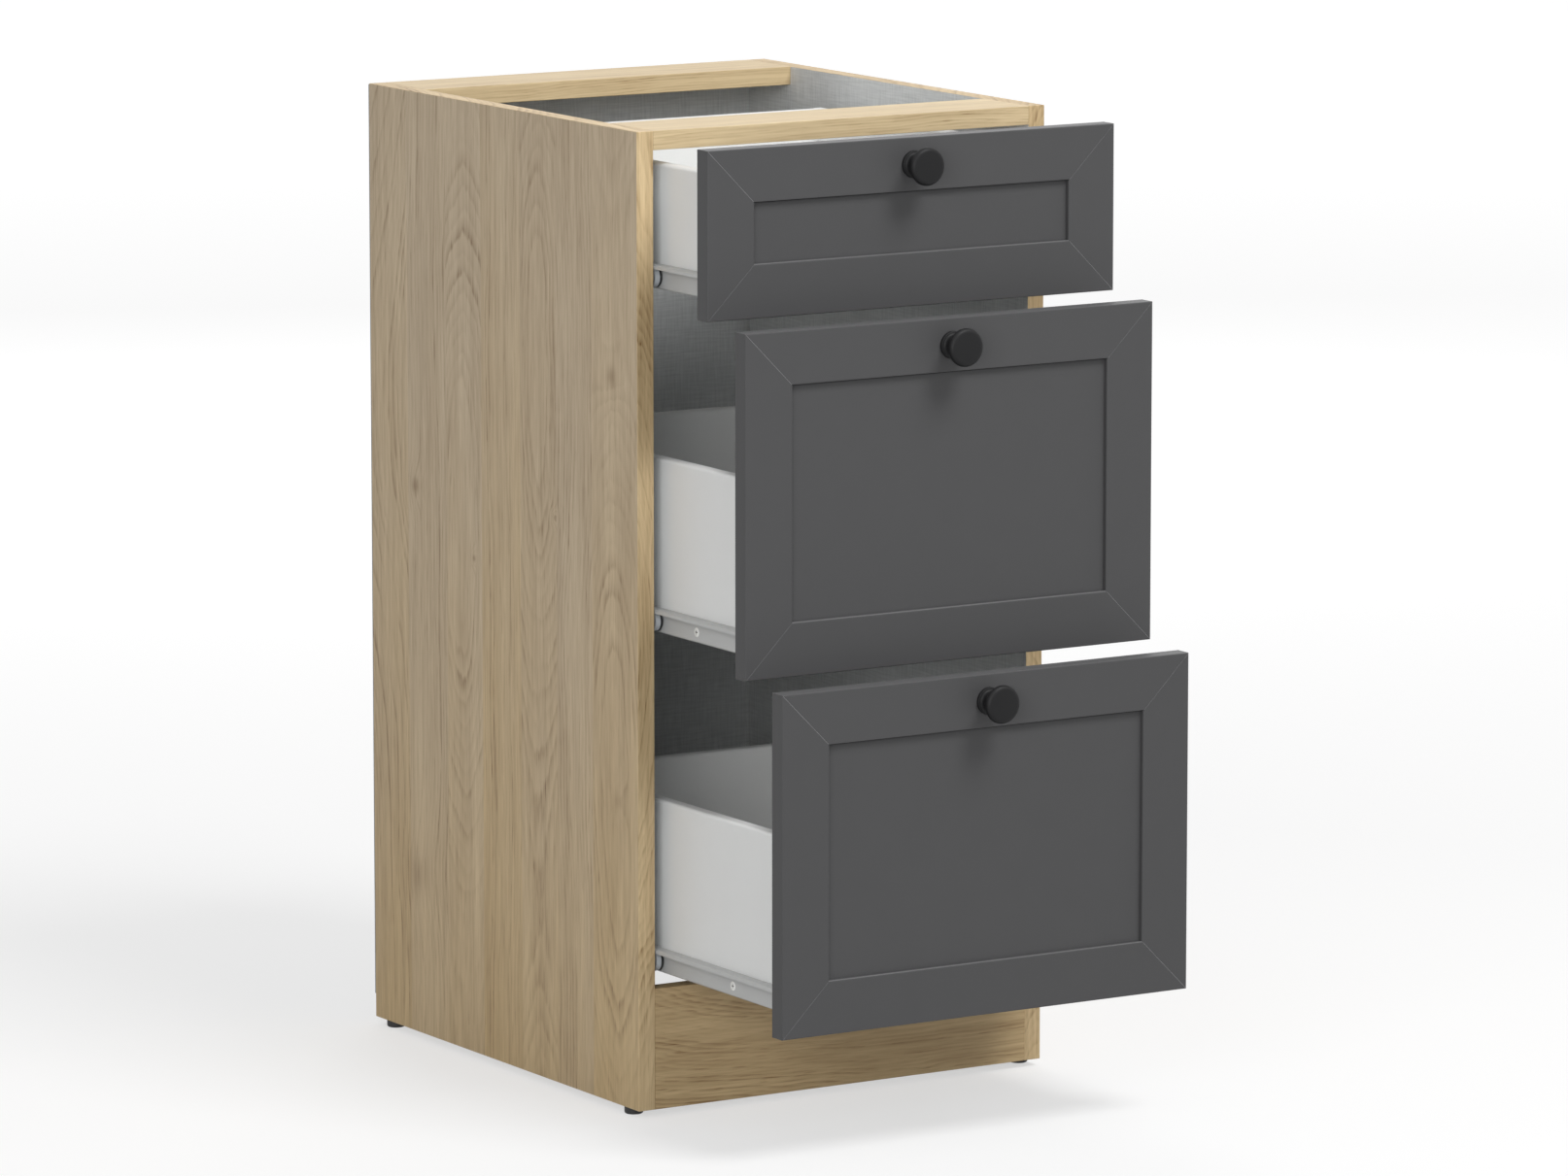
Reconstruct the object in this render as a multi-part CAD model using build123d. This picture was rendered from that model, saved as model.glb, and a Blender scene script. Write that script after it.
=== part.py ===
"""Kitchen base cabinet with three drawers on roller runners, part open. Millimetres, +Z up, front to -Y."""
import os
from dataclasses import dataclass

from build123d import *

os.makedirs("parts", exist_ok=True)

# Carcass boards
carcass_width = 400.0
carcass_depth = 452.0
board_thickness = 16.0
rail_depth = 70.0
plinth_height = 103.0
back_thickness = 3.0
back_lift = 20.0
back_inset = 1.0

# Glides under the side panels
foot_height = 6.0
foot_diameter = 16.0
foot_inset = 22.0

# Drawer fronts, stacked upwards from front_lift above the lower edge of the side panels
front_lift = 101.5
bottom_front_height = 284.5
middle_front_height = 284.5
top_front_height = 140.0
front_gap = 3.0
top_reveal = 5.5
side_reveal = 2.0
front_thickness = 16.0
frame_width = 45.0
frame_arris = 0.8
panel_recess = 4.0
panel_thickness = 6.0
panel_tongue = 8.0
mitre_groove = 0.5

# Knobs, on the middle of each front's upper rail
knob_diameter = 32.0
knob_base_diameter = 23.0
knob_waist_diameter = 17.0
knob_height = 24.5
knob_flange = 3.0
knob_waist_height = 9.0
knob_rim = 4.5
knob_drop = 22.3

# Drawer boxes; the drops are from the top of a front to the top of its drawer's sides
drawer_board = 12.0
drawer_lift = 14.0
shallow_side_drop = 23.0
deep_side_drop = 125.5
bottom_board = 3.0
bottom_lift = 10.0
bottom_tongue = 6.0
front_groove = 5.0

# How far each drawer stands open, and the gap left behind a closed front
top_opening = 92.0
middle_opening = 151.0
bottom_opening = 208.0
closed_gap = 1.0

# Roller runners: one member is screwed to the side panel, the other wraps the lower edge of the drawer side
runner_space = 12.5
runner_sheet = 1.2
runner_bend = 0.8
runner_flange_rise = 20.2
runner_lip = 3.4
runner_wall_gap = 1.8
runner_wrap = 10.0
runner_front_gap = 2.0
runner_tail = 28.0
track_setback = 4.0
track_mouth = 24.0
track_drop = 1.9
track_rise = 22.6
track_reach = 10.6
track_lip = 4.2
rear_space = 48.0

# Rollers and their axles, which stand a little past the rollers
roller_radius = 9.2
front_axle_setback = 12.0
rear_axle_inset = 14.0
axle_radius = 3.0
axle_end = 0.7

# Clearances
groove_fit = 0.1
running_fit = 0.05
side_play = 0.1
roller_gap = 0.3
lip_gap = 0.4
web_gap = 0.3

# Places that follow from the sizes above
inner_half = carcass_width / 2 - board_thickness
front_width = carcass_width - 2 * side_reveal
front_stack = bottom_front_height + middle_front_height + top_front_height + 2 * front_gap
carcass_top = foot_height + front_lift + front_stack + top_reveal
runner_length = carcass_depth - track_setback - rear_space
drawer_half = inner_half - runner_space
box_half = drawer_half - drawer_board
front_axle_rise = runner_flange_rise - runner_sheet - roller_gap - roller_radius
rear_axle_rise = runner_sheet - track_drop + roller_gap + roller_radius
web_place = runner_space - runner_sheet
front_roller_span = (runner_wall_gap + runner_sheet + lip_gap, web_place - web_gap - axle_end)
rear_roller_span = (runner_sheet + lip_gap + axle_end, track_reach - runner_sheet - lip_gap)


@dataclass
class Drawer:
    """One drawer: its front's lower edge and height, its sides' drop and how far it stands open."""

    name: str
    front_z: float
    front_height: float
    side_drop: float
    opening: float

    @property
    def base(self):
        """Height of the lower edge of the drawer's sides."""
        return self.front_z + drawer_lift

    @property
    def top(self):
        """Height of the upper edge of the drawer's sides."""
        return self.front_z + self.front_height - self.side_drop

    @property
    def rest(self):
        """Place of the back of the drawer's front, with the front edge of the carcass at 0."""
        return -closed_gap - self.opening


bottom_front_z = foot_height + front_lift
middle_front_z = bottom_front_z + bottom_front_height + front_gap
top_front_z = middle_front_z + middle_front_height + front_gap
drawers = [
    Drawer("top", top_front_z, top_front_height, shallow_side_drop, top_opening),
    Drawer("middle", middle_front_z, middle_front_height, deep_side_drop, middle_opening),
    Drawer("bottom", bottom_front_z, bottom_front_height, deep_side_drop, bottom_opening),
]
foremost = min(drawer.rest for drawer in drawers) - front_thickness - knob_height
middle_y = (foremost + carcass_depth + back_thickness) / 2


def board(x0, x1, y0, y1, z0, z1):
    """A square-edged board between two opposite corners."""
    return Pos((x0 + x1) / 2, (y0 + y1) / 2, (z0 + z1) / 2) * Box(x1 - x0, y1 - y0, z1 - z0)


def rod(radius, z0, z1):
    """A cylinder about Z between two heights."""
    return Pos(0, 0, (z0 + z1) / 2) * Cylinder(radius, abs(z1 - z0))


def across(solid, y, z):
    """The solid with its Z axis turned to +X, its origin on the left side panel's inner face."""
    return Plane(origin=(-inner_half, y, z), z_dir=(1, 0, 0)) * solid


def mirrored(solid):
    """The same piece for the other side of the cabinet."""
    return mirror(solid, about=Plane.YZ)


def export(node, *solids):
    """Writes one node, with the origin on the floor under the middle of the whole object."""
    moved = [Pos(0, -middle_y, 0) * solid for solid in solids]
    export_step(moved[0] if len(moved) == 1 else Compound(children=moved), f"parts/{node}.step")


def folded(points, y0, y1):
    """Sheet metal folded along a centre line of (X, Z) points, flat across its bends, from Y to Y."""
    line = chamfer(Polyline(*points).vertices(), runner_bend)
    half_sheet = runner_sheet / 2
    left = make_face(offset(line, half_sheet, kind=Kind.INTERSECTION, side=Side.LEFT).edges())
    right = make_face(offset(line, half_sheet, kind=Kind.INTERSECTION, side=Side.RIGHT).edges())
    return Pos(0, y1, 0) * extrude(Plane.XZ * (left + right), y1 - y0, dir=(0, -1, 0))


def roller(span):
    """A roller about Z on its axle, with side play at each end of its span."""
    low, high = span
    low += side_play
    high -= side_play
    return rod(roller_radius, low, high) - rod(axle_radius + running_fit, low, high)


def track(base):
    """The left cabinet runner member with its front axle, for a drawer whose sides start at a height."""
    web_x = runner_sheet / 2 - inner_half
    reach = track_reach - inner_half
    low = base - track_drop
    high = base + track_rise
    axis_z = base + front_axle_rise
    channel = folded(
        [
            (reach - runner_sheet / 2, low + track_lip),
            (reach - runner_sheet / 2, low + runner_sheet / 2),
            (web_x, low + runner_sheet / 2),
            (web_x, high - runner_sheet / 2),
            (reach, high - runner_sheet / 2),
        ],
        track_mouth,
        track_setback + runner_length,
    )
    panel_face = Plane(origin=(-inner_half, 0, 0), x_dir=(0, 1, 0), z_dir=(1, 0, 0))
    nose_round = Pos(front_axle_setback, axis_z) * Circle(front_axle_setback - track_setback)
    nose_root = Line((track_mouth, low + runner_bend), (track_mouth, high - runner_bend))
    nose_outline = make_hull(nose_round.edges() + nose_root.edges())
    nose = extrude(panel_face * nose_outline, runner_sheet, dir=(1, 0, 0))
    axle = rod(axle_radius, runner_sheet, front_roller_span[1] + axle_end)
    return channel + [nose, across(axle, front_axle_setback, axis_z)]


def runner(base):
    """The left drawer runner member with its rear axle, in the drawer's own place."""
    web_x = -drawer_half - runner_sheet / 2
    low = base - runner_sheet / 2
    high = base + runner_flange_rise
    lip_x = runner_wall_gap + runner_sheet / 2 - inner_half
    end = runner_length - runner_front_gap
    member = folded(
        [
            (runner_wrap - drawer_half, low),
            (web_x, low),
            (web_x, high - runner_sheet / 2),
            (lip_x, high - runner_sheet / 2),
            (lip_x, high - runner_lip),
        ],
        runner_front_gap,
        end,
    )
    flange_cut = board(-inner_half, web_place - inner_half, runner_length - runner_tail, end, base, high)
    axle = rod(axle_radius, web_place, rear_roller_span[0] - axle_end)
    return member - flange_cut + across(axle, runner_length - rear_axle_inset, base + rear_axle_rise)


def front_pieces(drawer, cut):
    """The lower and upper rail, left and right stile and panel of a drawer front, with a cut in its back."""
    half = front_width / 2
    inner = half - frame_width
    z0 = drawer.front_z
    z1 = z0 + drawer.front_height
    low_z = z0 + frame_width
    high_z = z1 - frame_width
    face = -front_thickness
    ring = board(-half, half, face, 0, z0, z1) - board(-inner, inner, face, 0, low_z, high_z)
    ring = chamfer(ring.edges().filter_by_position(Axis.Y, face, face), frame_arris)

    def panel(depth, slack):
        """The panel, or with slack the groove it stands in."""
        reach = depth + slack
        front = face + panel_recess - slack
        back = face + panel_recess + panel_thickness + slack
        return board(-inner - reach, inner + reach, front, back, low_z - reach, high_z + reach)

    def wedge(*points):
        """A prism through the front's thickness from (X, Z) points."""
        outline = make_face((Plane.XZ * Polyline(*points, close=True)).edges())
        return extrude(outline, front_thickness, dir=(0, -1, 0))

    vee = Pos(frame_width, 0, 0) * Rot(X=45) * Box(2 * frame_width, mitre_groove, mitre_groove)
    grooves = [panel(panel_tongue, groove_fit), cut]
    for x in (-half, half):
        for z in (z0, z1):
            inwards = (-x / half, 0, 1 if z == z0 else -1)
            grooves.append(Plane(origin=(x, face, z), x_dir=inwards, z_dir=(0, -1, 0)) * vee)
    ring = ring - grooves
    lower = ring & wedge((-half, z0), (half, z0), (inner, low_z), (-inner, low_z))
    upper = ring & wedge((-half, z1), (half, z1), (inner, high_z), (-inner, high_z))
    left = ring & wedge((-half, z0), (-inner, low_z), (-inner, high_z), (-half, z1))
    right = ring & wedge((half, z0), (inner, low_z), (inner, high_z), (half, z1))
    return lower, upper, left, right, panel(panel_tongue, 0)


def knob():
    """A round knob about Z: a base flange, a straight waist and a cap that flares out to its rim."""
    base = knob_base_diameter / 2
    waist = knob_waist_diameter / 2
    rim = knob_diameter / 2
    outline = Polyline(
        (0, 0),
        (base, 0),
        (base, knob_flange),
        (waist, knob_flange),
        (waist, knob_waist_height),
        (rim, knob_height - knob_rim),
        (rim, knob_height),
        (0, knob_height),
        close=True,
    )
    return revolve(make_face((Plane.XZ * outline).edges()), Axis.Z)


# Carcass
half_width = carcass_width / 2
rail_low = carcass_top - board_thickness
rear_rail_y = carcass_depth - rail_depth
back_half = half_width - back_inset
back_low = foot_height + back_lift
back_high = carcass_top - back_inset
back_y = carcass_depth + back_thickness
plinth_top = foot_height + plinth_height
side_panel = board(-half_width, -inner_half, 0, carcass_depth, foot_height, carcass_top)
export("left_side_panel", side_panel)
export("right_side_panel", mirrored(side_panel))
export("front_top_rail", board(-inner_half, inner_half, 0, rail_depth, rail_low, carcass_top))
export("rear_top_rail", board(-inner_half, inner_half, rear_rail_y, carcass_depth, rail_low, carcass_top))
export("plinth_board", board(-inner_half, inner_half, 0, board_thickness, foot_height, plinth_top))
export("back_panel", board(-back_half, back_half, carcass_depth, back_y, back_low, back_high))

# Glides
glide = rod(foot_diameter / 2, 0, foot_height)
foot_x = half_width - board_thickness / 2
foot_places = [(x, y) for x in (-foot_x, foot_x) for y in (foot_inset, carcass_depth - foot_inset)]
export("feet", *[Pos(x, y, 0) * glide for x, y in foot_places])

# Each drawer, built with the back of its front at 0 and then moved out to where it stands
for drawer in drawers:
    name = drawer.name
    base = drawer.base
    top = drawer.top
    out = Pos(0, drawer.rest, 0)

    # The bottom runs in grooves in the sides and the lower front rail and passes under the back,
    # and the lower outer edge of each side clears the bend of its runner
    groove_low = base + bottom_lift
    sheet_top = groove_low + bottom_board
    groove_half = box_half + bottom_tongue
    sheet_half = groove_half - groove_fit
    groove_high = sheet_top + groove_fit
    groove = board(-groove_half, groove_half, -front_groove, runner_length, groove_low, groove_high)
    sheet = board(-sheet_half, sheet_half, groove_fit - front_groove, runner_length, groove_low, sheet_top)
    back = board(-box_half, box_half, runner_length - drawer_board, runner_length, sheet_top, top)
    side = board(-drawer_half, -box_half, 0, runner_length, base, top)
    lower_edge = side.edges().filter_by(Axis.Y).group_by(Axis.Z)[0].sort_by(Axis.X)[0]
    side = chamfer(lower_edge, runner_bend) - groove
    lower, upper, left, right, panel = front_pieces(drawer, groove)
    knob_z = drawer.front_z + drawer.front_height - knob_drop
    handle = Plane(origin=(0, -front_thickness, knob_z), z_dir=(0, -1, 0)) * knob()
    member = runner(base)
    rear_roller = across(roller(rear_roller_span), runner_length - rear_axle_inset, base + rear_axle_rise)
    moving = {
        "front_lower_rail": [lower],
        "front_upper_rail": [upper],
        "front_left_stile": [left],
        "front_right_stile": [right],
        "front_panel": [panel],
        "knob": [handle],
        "drawer_left_side": [side],
        "drawer_right_side": [mirrored(side)],
        "drawer_back": [back],
        "drawer_bottom": [sheet],
        "drawer_runner_left": [member],
        "drawer_runner_right": [mirrored(member)],
        "rear_rollers": [rear_roller, mirrored(rear_roller)],
    }
    for piece, solids in moving.items():
        export(f"{name}_{piece}", *[out * solid for solid in solids])

    # The runner members and rollers that stay on the carcass
    fixed = track(base)
    front_roller = across(roller(front_roller_span), front_axle_setback, base + front_axle_rise)
    export(f"{name}_cabinet_runner_left", fixed)
    export(f"{name}_cabinet_runner_right", mirrored(fixed))
    export(f"{name}_front_rollers", front_roller, mirrored(front_roller))
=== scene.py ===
"""Dresses a kitchen base cabinet with three drawers.

Boards are eased, fronts mitred, knobs and rollers turned, and fasteners set.
"""
import logging
import math
from abc import ABC, abstractmethod
from collections.abc import Callable, Iterator
from contextlib import contextmanager
from dataclasses import dataclass, field
from enum import Enum

import bmesh
import bpy
from mathutils import Matrix, Vector


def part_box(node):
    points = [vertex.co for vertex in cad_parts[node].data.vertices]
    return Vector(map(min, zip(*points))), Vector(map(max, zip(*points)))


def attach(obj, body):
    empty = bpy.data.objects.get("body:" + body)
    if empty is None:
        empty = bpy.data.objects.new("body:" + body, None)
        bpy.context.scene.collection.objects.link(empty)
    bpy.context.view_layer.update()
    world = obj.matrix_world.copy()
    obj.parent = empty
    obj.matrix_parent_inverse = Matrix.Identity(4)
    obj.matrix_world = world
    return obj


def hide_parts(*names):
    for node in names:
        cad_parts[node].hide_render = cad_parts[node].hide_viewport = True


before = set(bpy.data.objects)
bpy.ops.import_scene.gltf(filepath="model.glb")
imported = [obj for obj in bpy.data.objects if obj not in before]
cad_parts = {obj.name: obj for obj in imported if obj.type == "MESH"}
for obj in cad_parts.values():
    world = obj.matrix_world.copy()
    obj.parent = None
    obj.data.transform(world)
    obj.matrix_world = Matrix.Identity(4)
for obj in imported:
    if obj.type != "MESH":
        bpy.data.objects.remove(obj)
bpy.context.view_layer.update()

logging.basicConfig(level=logging.INFO, format="%(name)s: %(message)s")
log = logging.getLogger("cabinet")

Piece = bpy.types.Object
Socket = bpy.types.NodeSocket
Value = Socket | float
Inputs = dict[str | int, object]
Colour = tuple[float, float, float]
Direction = tuple[float, float, float]
Outline = tuple[tuple[float, float], ...]
Corners = tuple[tuple[float, float, float], ...]
Test = Callable[[Vector, Vector], bool]

RIGHT = Vector((1.0, 0.0, 0.0))
BACK = Vector((0.0, 1.0, 0.0))
UP = Vector((0.0, 0.0, 1.0))
MM = 0.001
# Places nearer than this are level with each other, or are one point
TOUCH = 0.01 * MM
MERGE = 0.001 * MM
# The angle from which an edge counts as sharp, and the one up to which it is shaded smooth
SHARP = math.radians(25)
SMOOTH = math.radians(38)
# How much of a normal or an edge has to point one way
FACES = 0.9
SQUARE = 0.95
STRAIGHT = 0.99
LEANS = 0.3


class Tier(Enum):
    """The drawer's place in the cabinet; its value starts the names of the drawer's nodes and bodies."""

    TOP = "top"
    MIDDLE = "middle"
    BOTTOM = "bottom"


class Hand(Enum):
    """Left or right half of the cabinet, seen from the front; its value is the sign of X there."""

    LEFT = -1
    RIGHT = 1

    @property
    def word(self) -> str:
        """The hand as it is written in node names."""
        return self.name.lower()


class Slot(Enum):
    """Names of material slots, handed to fit, which does not use them."""

    OAK = "oak_laminate"
    BACK = "grey_hardboard"
    FRONT = "anthracite_front"
    KNOB = "black_knob"
    WHITE = "white_board"
    BOTTOM = "white_hardboard"
    RUNNER = "grey_runner"
    ROLLER = "nylon_roller"
    FOOT = "black_plastic"


def shade(red: int, green: int, blue: int) -> Colour:
    """Turns a screen colour, each part from 0 to 255, into the linear one that a shader takes."""
    parts = [value / 255 for value in (red, green, blue)]
    return tuple(((part + 0.055) / 1.055) ** 2.4 if part > 0.04 else part / 12.92 for part in parts)


class Bench:
    """Modelling moves on one piece at a time: pick by place or normal, then cut, push or ease."""

    @staticmethod
    def clear() -> None:
        """Leaves nothing selected."""
        bpy.ops.object.select_all(action="DESELECT")

    @staticmethod
    def hold(piece: Piece) -> None:
        """Selects one piece alone and makes it active.

        Args:
            piece: the piece to hold.
        """
        Bench.clear()
        piece.select_set(True)
        bpy.context.view_layer.objects.active = piece

    @staticmethod
    def settle(piece: Piece, name: str) -> Piece:
        """Puts a piece's place into its mesh and names it.

        Args:
            piece: the piece, at its place.
            name: the name it gets.

        Returns:
            The piece, with its object at the origin.
        """
        Bench.hold(piece)
        bpy.ops.object.transform_apply(location=True, rotation=True, scale=True)
        piece.name = name
        piece.data.name = name
        return piece

    @staticmethod
    @contextmanager
    def editing(piece: Piece) -> Iterator[None]:
        """Opens a piece in edit mode, and closes it again.

        Args:
            piece: the piece to edit.

        Returns:
            The stretch of work in between.
        """
        Bench.hold(piece)
        bpy.ops.object.mode_set(mode="EDIT")
        try:
            yield
        finally:
            bpy.ops.object.mode_set(mode="OBJECT")

    @staticmethod
    def block(name: str, low: Vector, high: Vector) -> Piece:
        """Starts a piece as a block between two corners.

        Args:
            name: the piece's name.
            low, high: its lowest and highest corner.

        Returns:
            The new piece.
        """
        Bench.clear()
        bpy.ops.mesh.primitive_cube_add(size=1.0, location=(low + high) / 2, scale=high - low)
        return Bench.settle(bpy.context.active_object, name)

    @staticmethod
    def pick_faces(piece: Piece, test: Test) -> None:
        """Selects the faces, in edit mode, whose centre and normal pass a test.

        Args:
            piece: the piece in edit mode.
            test: takes a face's centre and normal.
        """
        bpy.ops.mesh.select_mode(type="FACE")
        bpy.ops.mesh.select_all(action="DESELECT")
        mesh = bmesh.from_edit_mesh(piece.data)
        for face in mesh.faces:
            face.select_set(test(face.calc_center_median(), face.normal))
        bmesh.update_edit_mesh(piece.data)

    @staticmethod
    def pick_edges(piece: Piece, test: Test) -> None:
        """Selects the sharp edges, in edit mode, whose two ends pass a test.

        Args:
            piece: the piece in edit mode.
            test: takes an edge's two ends.
        """
        bpy.ops.mesh.select_mode(type="EDGE")
        bpy.ops.mesh.select_all(action="DESELECT")
        mesh = bmesh.from_edit_mesh(piece.data)
        for edge in mesh.edges:
            sharp = edge.calc_face_angle(0.0) > SHARP
            edge.select_set(sharp and test(edge.verts[0].co, edge.verts[1].co))
        bmesh.update_edit_mesh(piece.data)

    @staticmethod
    def ease(piece: Piece, width: float, steps: int, test: Test = lambda start, end: True) -> None:
        """Rounds or chamfers sharp edges.

        Args:
            piece: the piece to ease.
            width: how far the rounding reaches from the edge.
            steps: faces across the rounding; 1 is a chamfer.
            test: takes an edge's two ends.
        """
        with Bench.editing(piece):
            Bench.pick_edges(piece, test)
            bpy.ops.mesh.bevel(
                offset_type="OFFSET", offset=width, segments=steps, affect="EDGES", clamp_overlap=True
            )

    @staticmethod
    def cut(piece: Piece, place: Vector, normal: Vector, drop: bool = False) -> None:
        """Saws through a piece along a plane.

        Args:
            piece: the piece to cut.
            place: a point of the plane.
            normal: the plane's normal.
            drop: whether the part that the normal points to falls away.
        """
        with Bench.editing(piece):
            bpy.ops.mesh.select_all(action="SELECT")
            bpy.ops.mesh.bisect(plane_co=place, plane_no=normal, use_fill=drop, clear_outer=drop)

    @staticmethod
    def push(piece: Piece, move: Vector, test: Test) -> None:
        """Extrudes faces by a vector.

        Args:
            piece: the piece to change.
            move: the vector.
            test: takes a face's centre and normal.
        """
        with Bench.editing(piece):
            Bench.pick_faces(piece, test)
            bpy.ops.mesh.extrude_region_move(TRANSFORM_OT_translate={"value": move})

    @staticmethod
    def rounded(corners: Corners, steps: int) -> Outline:
        """Draws a turned piece's outline, with an arc at each corner that has a rounding.

        Args:
            corners: radius, height and rounding of each corner; a rounding of 0 leaves it sharp.
            steps: straight stretches in an arc.

        Returns:
            The outline's points as radius and height.
        """
        spots = [Vector((radius, height)) for radius, height, _ in corners]
        points = []
        for i, spot in enumerate(spots):
            rounding = corners[i][2]
            if not rounding:
                points.append(spot)
                continue
            before = (spots[i - 1] - spot).normalized()
            after = (spots[i + 1] - spot).normalized()
            half = before.angle(after) / 2
            middle = spot + (before + after).normalized() * (rounding / math.sin(half))
            reach = rounding / math.tan(half)
            start = (spot + before * reach - middle).normalized()
            end = (spot + after * reach - middle).normalized()
            points += [middle + start.slerp(end, step / steps) * rounding for step in range(steps + 1)]
        return tuple((point.x, point.y) for point in points)

    @staticmethod
    def turn(name: str, outline: Outline, foot: Vector, axis: Vector, steps: int) -> Piece:
        """Turns a piece on the lathe: draws its outline point by point, spins it and smooths it.

        Args:
            name: the piece's name.
            outline: points as radius and height, from the foot; both ends on the axis, or a closed ring.
            foot: the point of the axis at height 0.
            axis: the direction of the axis.
            steps: faces round the piece.

        Returns:
            The new piece.
        """
        arm = axis.orthogonal().normalized()
        path = [foot + axis * height + arm * radius for radius, height in outline]
        Bench.clear()
        bpy.ops.mesh.primitive_plane_add(size=10.0 * MM, location=path[0])
        piece = Bench.settle(bpy.context.active_object, name)
        with Bench.editing(piece):
            bpy.ops.mesh.select_mode(type="VERT")
            bpy.ops.mesh.select_all(action="SELECT")
            bpy.ops.mesh.merge(type="CENTER")
            for last, point in zip(path, path[1:]):
                bpy.ops.mesh.extrude_vertices_move(TRANSFORM_OT_translate={"value": point - last})
            bpy.ops.mesh.select_all(action="SELECT")
            bpy.ops.mesh.spin(steps=steps, angle=math.tau, center=foot, axis=axis)
            bpy.ops.mesh.select_all(action="SELECT")
            bpy.ops.mesh.remove_doubles(threshold=MERGE)
            bpy.ops.mesh.normals_make_consistent(inside=False)
        bpy.ops.object.shade_smooth_by_angle(angle=SMOOTH)
        return piece

    @staticmethod
    def carve(piece: Piece, cutter: Piece) -> None:
        """Takes one piece's shape out of another, and throws the cutter away.

        Args:
            piece: the piece that is carved.
            cutter: the shape that is taken out.
        """
        Bench.hold(piece)
        carving = piece.modifiers.new("carving", "BOOLEAN")
        carving.operation = "DIFFERENCE"
        carving.solver = "EXACT"
        carving.object = cutter
        bpy.ops.object.modifier_apply(modifier=carving.name)
        bpy.data.objects.remove(cutter)

    @staticmethod
    def copy(piece: Piece, name: str, move: Vector, turn: Matrix | None = None) -> Piece:
        """Copies a piece, with its own mesh, to another place.

        Args:
            piece: the piece to copy, modelled round the origin if it is to be turned.
            name: the copy's name.
            move: how far the copy moves.
            turn: how it turns about the origin before it moves.

        Returns:
            The copy.
        """
        Bench.hold(piece)
        bpy.ops.object.duplicate(linked=False)
        twin = bpy.context.active_object
        twin.matrix_world = Matrix.Translation(move) @ (turn or Matrix.Identity(4))
        return Bench.settle(twin, name)

    @staticmethod
    def join(name: str, pieces: list[Piece]) -> Piece:
        """Joins pieces into one.

        Args:
            name: the joined piece's name.
            pieces: the pieces; the first takes in the others.

        Returns:
            The joined piece.
        """
        Bench.hold(pieces[0])
        for piece in pieces[1:]:
            piece.select_set(True)
        if len(pieces) > 1:
            bpy.ops.object.join()
        pieces[0].name = name
        pieces[0].data.name = name
        return pieces[0]


class Nodes:
    """A node tree, with short ways to add and join its nodes."""

    def __init__(self, tree: bpy.types.NodeTree) -> None:
        """Takes the tree to draw in."""
        self.tree = tree

    def feed(self, socket: Socket, value: object) -> None:
        """Links a socket to another, or sets its own value.

        Args:
            socket: the socket that takes the value.
            value: an output socket, or a plain value.
        """
        if isinstance(value, bpy.types.NodeSocket):
            self.tree.links.new(value, socket)
        else:
            socket.default_value = value

    def add(self, kind: str, inputs: Inputs | None = None, **settings: object) -> bpy.types.Node:
        """Adds a node, sets its options and feeds it.

        Args:
            kind: the node's type.
            inputs: what goes into it, by the input's name or number.
            settings: the node's options by name.

        Returns:
            The node.
        """
        node = self.tree.nodes.new(kind)
        for key, value in settings.items():
            setattr(node, key, value)
        for key, value in (inputs or {}).items():
            self.feed(node.inputs[key], value)
        return node

    def calc(self, operation: str, *values: Value) -> Socket:
        """Works out one step of arithmetic on some values."""
        return self.add("ShaderNodeMath", dict(enumerate(values)), operation=operation).outputs[0]

    def pack(self, x: Value, y: Value, z: Value = 0.0) -> Socket:
        """Packs three numbers into a vector."""
        return self.add("ShaderNodeCombineXYZ", {0: x, 1: y, 2: z}).outputs[0]

    def split(self, vector: Socket) -> tuple[Socket, Socket, Socket]:
        """Takes a vector or colour apart into three numbers."""
        return tuple(self.add("ShaderNodeSeparateXYZ", {0: vector}).outputs)

    def span(self, value: Value, start: float, end: float, **more: object) -> Socket:
        """Maps a value between start and end onto 0 to 1."""
        inputs = {"Value": value, "From Min": start, "From Max": end}
        return self.add("ShaderNodeMapRange", inputs, **more).outputs["Result"]

    def between(self, share: Value, low: Value, high: Value) -> Socket:
        """Gives the number at a share of the way from low to high."""
        inputs = {"Value": share, "To Min": low, "To Max": high}
        return self.add("ShaderNodeMapRange", inputs).outputs["Result"]

    def seen(self) -> Socket:
        """Tells rays that show the background from rays that light the object.

        Returns:
            1 for camera, glossy and transmission rays, else 0.
        """
        path = self.add("ShaderNodeLightPath")
        total = path.outputs["Is Camera Ray"]
        for name in ("Is Glossy Ray", "Is Transmission Ray"):
            total = self.calc("MAXIMUM", total, path.outputs[name])
        return total


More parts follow.
